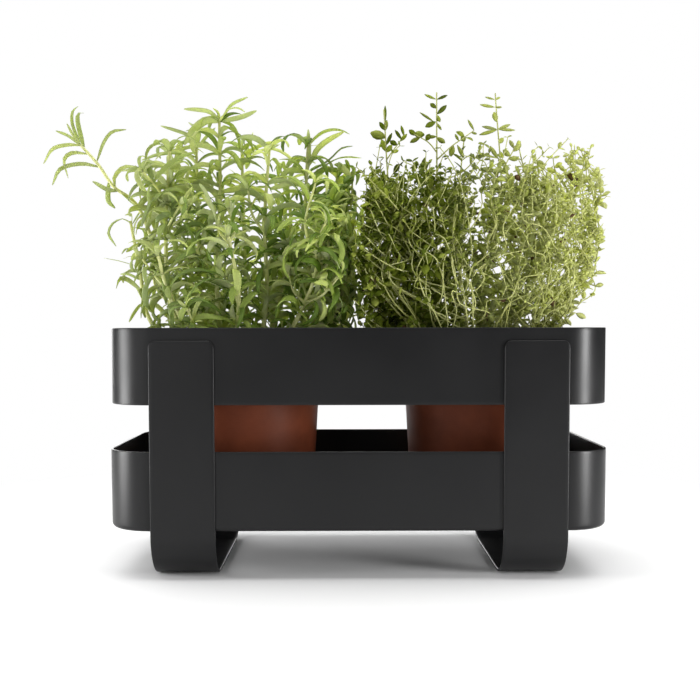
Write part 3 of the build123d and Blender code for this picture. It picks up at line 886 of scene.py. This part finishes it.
def rosemary_leaves(plant, rng, line, run, pitch, size, first, fullness):
    """Whorls of long arching leaves up a stem, with a tuft of young ones in the axils."""
    levels = max(2, int(run * (1 - first) / pitch))
    spin = rng.uniform(0, 180)
    for level in range(levels + 1):
        share = first + (0.998 - first) * level / levels
        base, way = node_at(line, share)
        across, other = across_stem(way, ROSEMARY_ASIDE)
        crowd = 4 if rng.random() < 0.62 * fullness or level == levels else 2
        for k in range(crowd):
            turn = radians(spin + level * 90 + k * 180 + (k // 2) * 75 + rng.uniform(-30, 30))
            out = swung(across, other, turn)
            tilt = radians(rng.uniform(26, 68) + 18 * share ** 4)
            length = size * rng.uniform(0.74, 1.24) * (0.72 if k > 1 else 1.0) * (1 - 0.2 * share ** 6)
            width = rng.uniform(0.0033, 0.0056) * (0.55 + 0.45 * size / 0.035)
            curl = degrees(rng, 75, 185)
            twist = degrees(rng, -65, 65)
            sway = rng.uniform(-0.28, 0.28)
            tops = (DARK, DARK, DARK, MID, MID, PALE) if share < 0.75 else (DARK, DARK, MID, MID, PALE)
            shape = (width, curl, ROSEMARY_FORM, (rng.choice(tops), OTHER), twist, sway)
            for turned, shorter in TRIES:
                heading = swung(swung(out, np.cross(way, out), radians(turned)), way, tilt)
                if plant.blade(base, heading, way, length * shorter, *shape):
                    break
        for _ in range(rng.choice((0, 1, 1, 2))):
            out = swung(across, other, rng.uniform(0, 2 * pi))
            heading = swung(out, way, degrees(rng, 30, 75))
            length, width = rng.uniform(0.008, 0.019), rng.uniform(0.0018, 0.0032)
            curl = degrees(rng, 0, 90)
            plant.blade(base, heading, way, length, width, curl, ROSEMARY_SMALL, (PALE, OTHER))


def rosemary_end(rng):
    """A place for the tip of a side shoot, in the body of the long-leaved herb."""
    y = rng.uniform(-0.074, 0.078)
    z = rng.uniform(soil_z + 0.045, soil_z + 0.150)
    most = divide_at(y) - 0.003
    x = rng.uniform(-0.160, most) if rng.random() < 0.66 else rng.uniform(most - 0.026, most)
    return np.array((x, y, z))


def build_rosemary():
    """Stems with long arching leaves, side shoots, and the leaves that the photograph sets apart."""
    plant = Plant("left", ROSEMARY, "rosemary_leaf")
    knots = [stem_knots(shares, plant.centre) for shares in ROSEMARY_SHOOT_SHARES]
    knots[0] += [seen_at(*pixel, y) for *pixel, y in FAR_STEM]
    lines = [smooth_line(shoot, 48) for shoot in knots]
    # The two stems at the far left have no side shoots, and whorls of leaves only up to these shares
    far_stems = {1: 0.55, 2: 0.7}
    twigs = spread_twigs(plant, lines[2:], 41, 76, rosemary_end, shortest=0.025, longest=0.085, rise=0.018)
    for number, line in enumerate(lines, 1):
        rng = random.Random(100 + number)
        run = np.sum(step_lengths(line))
        plant.tube(line, 0.0022, 0.0011, 8)
        for width, lean, *pixels in of_shoot(PLACED_LEAVES, number):
            top = rng.choice((DARK, MID, MID, PALE))
            twist = rng.choice((-1, 1)) * degrees(rng, 38, 62)
            width *= 0.00078 if number in far_stems else 0.001
            plant.placed_leaf(pixels, line, lean / 1000, width, ROSEMARY_FORM, (top, OTHER), twist)
        if number in far_stems:
            part = line[:int(len(line) * far_stems[number])]
            rosemary_leaves(plant, rng, part, run * 0.6, pitch=0.015, size=0.024, first=0.25, fullness=0.3)
        else:
            rosemary_leaves(plant, rng, line, run, pitch=0.0122, size=0.041, first=0.10, fullness=1.1)
            for twig in twigs[number - 3]:
                reach = np.sum(step_lengths(twig))
                plant.tube(twig, 0.0012, 0.0007, 6)
                rosemary_leaves(plant, rng, twig, reach, pitch=0.0120, size=0.034, first=0.25, fullness=0.8)
        plant.finish_shoot(f"rosemary_{number:02d}", f"rosemary_shoot_{number:02d}")


# Half the bush's width at heights above the floor, and its middle, half depth and top
BUSH_WIDTHS = ((0.15, 0.058), (0.182, 0.072), (0.209, 0.0895), (0.25, 0.097), (0.3, 0.097), (0.335, 0.08))
BUSH_CENTRE = 0.0935
BUSH_DEPTH = 0.080
BUSH_TOP = soil_z + HEIGHT * 0.86
# How far the bush reaches to each side in shares of its width, and how square its outline is there
BUSH_LEFT, LEFT_SQUARE, BACK_SQUARE = 1.12, 12, 6
BUSH_RIGHT, RIGHT_SQUARE = 0.98, 2.2


def bush_reach(z):
    """Half the width and half the depth of the barrel shape that the small-leaved herb fills."""
    heights, widths = zip(*BUSH_WIDTHS)
    wide = float(np.interp(z, heights, widths))
    return wide, min(wide, BUSH_DEPTH)


def in_bush(point):
    """Whether a point lies in the bush: rounded to the right, fuller where it meets the other herb."""
    wide, deep = bush_reach(point[2])
    across, back = (point[0] - BUSH_CENTRE) / wide, abs(point[1]) / deep
    if across < 0:
        return (-across / BUSH_LEFT) ** LEFT_SQUARE + back ** BACK_SQUARE < 1.0
    return (across / BUSH_RIGHT) ** RIGHT_SQUARE + back ** RIGHT_SQUARE < 1.0


def thyme_end(rng):
    """A place for the tip of a twig, or None: more often near the outside, and beside the other herb."""
    if rng.random() < 0.09:
        y = rng.uniform(-0.079, 0.03)
        x = divide_at(y) + rng.uniform(0.003, 0.016)
        return np.array((x, y, rng.uniform(soil_z + 0.02, BUSH_TOP - 0.022)))
    z = rng.uniform(soil_z + 0.022, BUSH_TOP)
    thin_over = 0.030
    if rng.random() < (z - BUSH_TOP + thin_over) / thin_over:
        return None
    wide, deep = bush_reach(z)
    end = np.array((BUSH_CENTRE + rng.uniform(-BUSH_LEFT, 1.0) * wide, rng.uniform(-1.0, 1.0) * deep, z))
    outward = max(abs(end[0] - BUSH_CENTRE) / wide, abs(end[1]) / deep)
    if not in_bush(end) or rng.random() > 0.35 + 0.65 * outward:
        return None
    return end


def leafy_twig(plant, rng, line, radius, pitch, size, first=0.1, last=0.55, end=1.0):
    """A thin thyme stem with pairs of small leaves from one share of its length to another."""
    plant.tube(line, radius, radius * 0.6, 5)
    levels = max(2, int(np.sum(step_lengths(line)) * (1 - first) / pitch))
    spin = rng.uniform(0, 180)
    for level in range(levels + 1):
        share = first + (0.995 * end - first) * level / levels
        base, way = node_at(line, share)
        across, other = across_stem(way, THYME_ASIDE)
        grown = size * (1.0 - (1.0 - last) * share ** 3) * rng.uniform(0.66, 1.24)
        for half in (0, 1):
            turn = radians(spin + level * 90 + half * 180 + rng.uniform(-24, 24))
            heading = swung(swung(across, other, turn), way, degrees(rng, 5, 55))
            top = rng.choice((DARK, DARK, DARK, MID, MID, PALE)) if rng.random() > 0.015 else OTHER
            under = OTHER if top == OTHER else min(top + 1, PALE)
            width, curl = grown * rng.uniform(0.46, 0.70), degrees(rng, -15, 60)
            twist, sway = degrees(rng, -35, 35), rng.uniform(-0.15, 0.15)
            plant.blade(base, heading, way, grown, width, curl, THYME_FORM, (top, under), twist, sway)


def front_wire(plant, rng, line):
    """A long bare stem that leaves a sprig, comes to the bush's outside and wanders over it."""
    for _ in range(40):
        base, _ = node_at(line, rng.uniform(0.03, 0.45))
        turn = radians(rng.choice((270, 270, 270, 90)) + rng.uniform(-80, 80))
        z = base[2] + rng.uniform(0.010, 0.045)
        drift = rng.choice((-1, 1)) * rng.uniform(0.03, 0.20)
        climb = rng.uniform(0.010, 0.024)
        knots = [base]
        for _ in range(6):
            wide, deep = bush_reach(z)
            hug = rng.uniform(0.86, 0.99)
            side, back = cos(turn), sin(turn)
            if side < 0:
                back = copysign(abs(back) ** 0.45, back)
            x = BUSH_CENTRE + wide * hug * side + rng.uniform(-0.006, 0.006)
            knots.append(np.array((x, deep * hug * back, z + rng.uniform(-0.004, 0.004))))
            turn += drift * rng.uniform(-0.4, 1.6)
            z += climb * rng.uniform(0.3, 1.7)
        if knots[-1][2] > BUSH_TOP or norm(knots[1] - base) > 0.075:
            continue
        wire = smooth_line(knots, 36)
        if plant.has_room(wire[1:]):
            return wire
    return None


def build_thyme():
    """A tangle of thin wiry sprigs, with leafy side twigs and long bare runs that cross in front."""
    plant = Plant("right", THYME, "thyme_leaf")
    lines = [smooth_line(stem_knots(shares, plant.centre), 40) for shares in THYME_SPRIG_SHARES]
    twigs = spread_twigs(plant, lines, 71, 900, thyme_end, shortest=0.014, longest=0.080, rise=0.013)
    for number, line in enumerate(lines, 1):
        rng = random.Random(300 + number)
        end = 0.72 if number <= 3 else 1.0
        leafy_twig(plant, rng, line, radius=0.0009, pitch=0.0092, size=0.0092, first=0.12, last=0.85, end=end)
        for route, *leaves in of_shoot(PLACED_THYME, number):
            stem = line
            if route:
                first, *others = pairs(route)
                start = nearest_on(line, first)
                stem = smooth_line([start] + [seen_at(*pixel, start[1]) for pixel in others], 14)
                if not plant.has_room(stem[1:]):
                    continue
                plant.tube(stem, 0.0006, 0.0004, 5)
            for width, *pixels in leaves:
                marks = (rng.choice((DARK, DARK, MID, MID, PALE)), PALE)
                twist = rng.choice((-1, 1)) * degrees(rng, 66, 88)
                lean = rng.uniform(-0.003, 0.003)
                plant.placed_leaf(pixels, stem, lean, width / 1000, THYME_FORM, marks, twist)
        for twig in twigs[number - 1]:
            leafy_twig(plant, rng, twig, radius=0.00055, pitch=0.0066, size=0.0084, first=0.18)
        for _ in range(6):
            wire = front_wire(plant, rng, line)
            if wire is not None:
                leafy_twig(plant, rng, wire, radius=0.00058, pitch=0.0085, size=0.0068, first=0.62)
        plant.finish_shoot(f"thyme_{number:02d}", f"thyme_sprig_{number:02d}")


build_ring()
build_tray()
for side_name, seed in (("left", 5), ("right", 6)):
    build_leg(side_name)
    build_pot(side_name)
    build_soil(side_name, seed)
build_rosemary()
build_thyme()

# Floor: its tone as the object is lit by it and as the camera sees it, and where it fades to white
FLOOR_HALF = 4.0
FLOOR_LIT = (0.75, 0.75, 0.75, 1)
FLOOR_SEEN = (0.95, 0.95, 0.95, 1)
FADE_START, FADE_END = 0.24, 0.56
# How bright the room is to all but the camera
ROOM_LIGHT = 0.05


def white_ground():
    """A pale floor that shows the planter's shadow and fades into a white background."""
    paint = new_paint("ground")
    is_camera = paint.node("LightPath").outputs["Is Camera Ray"]
    lit = paint.node("BsdfDiffuse", {"Color": FLOOR_LIT}).outputs["BSDF"]
    seen = paint.node("BsdfDiffuse", {"Color": FLOOR_SEEN}).outputs["BSDF"]
    white = paint.node("Emission", {"Strength": 1.0}).outputs["Emission"]
    away = paint.node("VectorMath", {0: paint.place()}, operation="LENGTH").outputs["Value"]
    inputs = {"Value": away, "From Min": FADE_START, "From Max": FADE_END}
    fade = paint.node("MapRange", inputs, interpolation_type="SMOOTHSTEP").outputs["Result"]
    share = paint.node("Math", {0: fade, 1: is_camera}, operation="MULTIPLY").outputs["Value"]
    paint.surface(paint.blend(share, paint.blend(is_camera, lit, seen), white))
    return paint.owner


def build_floor():
    h = FLOOR_HALF
    mesh = bpy.data.meshes.new("floor")
    mesh.from_pydata([(-h, -h, 0), (h, -h, 0), (h, h, 0), (-h, h, 0)], [], [(0, 1, 2, 3)])
    mesh.materials.append(white_ground())
    set_up("floor", mesh)


def build_world():
    """White where the camera sees it, and a dim even room light for all else."""
    world = bpy.data.worlds.new("studio")
    bpy.context.scene.world = world
    paint = Paint(world, "World Output")
    plain = (1, 1, 1, 1)
    room = paint.nodes["Background"]
    paint.feed(room.inputs["Color"], plain)
    paint.feed(room.inputs["Strength"], ROOM_LIGHT)
    white = paint.node("Background", {"Color": plain, "Strength": 1.0})
    is_camera = paint.node("LightPath").outputs["Is Camera Ray"]
    paint.surface(paint.blend(is_camera, room.outputs["Background"], white.outputs["Background"]))


# Each lamp's name, place, size and power. The strips draw the highlights down the corners, and the
# others give broad soft light
LAMPS = (
    ("left_strip", (-0.66, -0.15, 0.13), (0.25, 0.25), 2.6),
    ("right_strip", (0.61, -0.40, 0.13), (0.147, 0.25), 3.1),
    ("top_box", (0.0, 0.0, 1.6), (1.6, 1.0), 15.5),
    ("top_back", (0.0, 0.9, 1.4), (1.8, 0.9), 5.2),
    ("top_left", (-1.2, 0.1, 1.3), (0.9, 1.4), 5.6),
    ("top_right", (1.2, 0.1, 1.3), (0.9, 1.4), 7.4),
    ("back_box", (-0.45, 1.3, 0.5), (1.5, 0.9), 16.0),
    ("front_fill", (0.0, -1.45, 1.55), (1.6, 1.0), 6.4),
    ("front_left", (-0.85, -1.47, 0.25), (1.0, 0.4), 2.0),
)
LAMP_TARGET = Vector((0.0, 0.0, 0.15))


def build_lamps():
    """Rectangular studio lamps that face the middle of the planter."""
    for name, place, (width, height), power in LAMPS:
        lamp = bpy.data.lights.new(name, "AREA")
        lamp.shape = "RECTANGLE"
        lamp.size = width
        lamp.size_y = height
        lamp.energy = power
        made = set_up(name, lamp)
        made.location = place
        made.rotation_euler = (LAMP_TARGET - Vector(place)).to_track_quat("-Z", "Y").to_euler()


def build_camera():
    """The photograph's view, from about the upper band's height and tipped slightly down."""
    camera = bpy.data.cameras.new("camera")
    camera.sensor_width = SENSOR
    camera.lens = SENSOR * FOCAL_PIXELS / FRAME_PIXELS
    camera.shift_y = PRINCIPAL_DROP / FRAME_PIXELS
    camera.clip_start = 0.01
    made = set_up("camera", camera)
    made.matrix_world = Matrix.Translation(EYE) @ TURN.to_4x4()
    bpy.context.scene.camera = made


build_floor()
build_world()
build_lamps()
build_camera()
bpy.context.scene.view_settings.view_transform = "Standard"
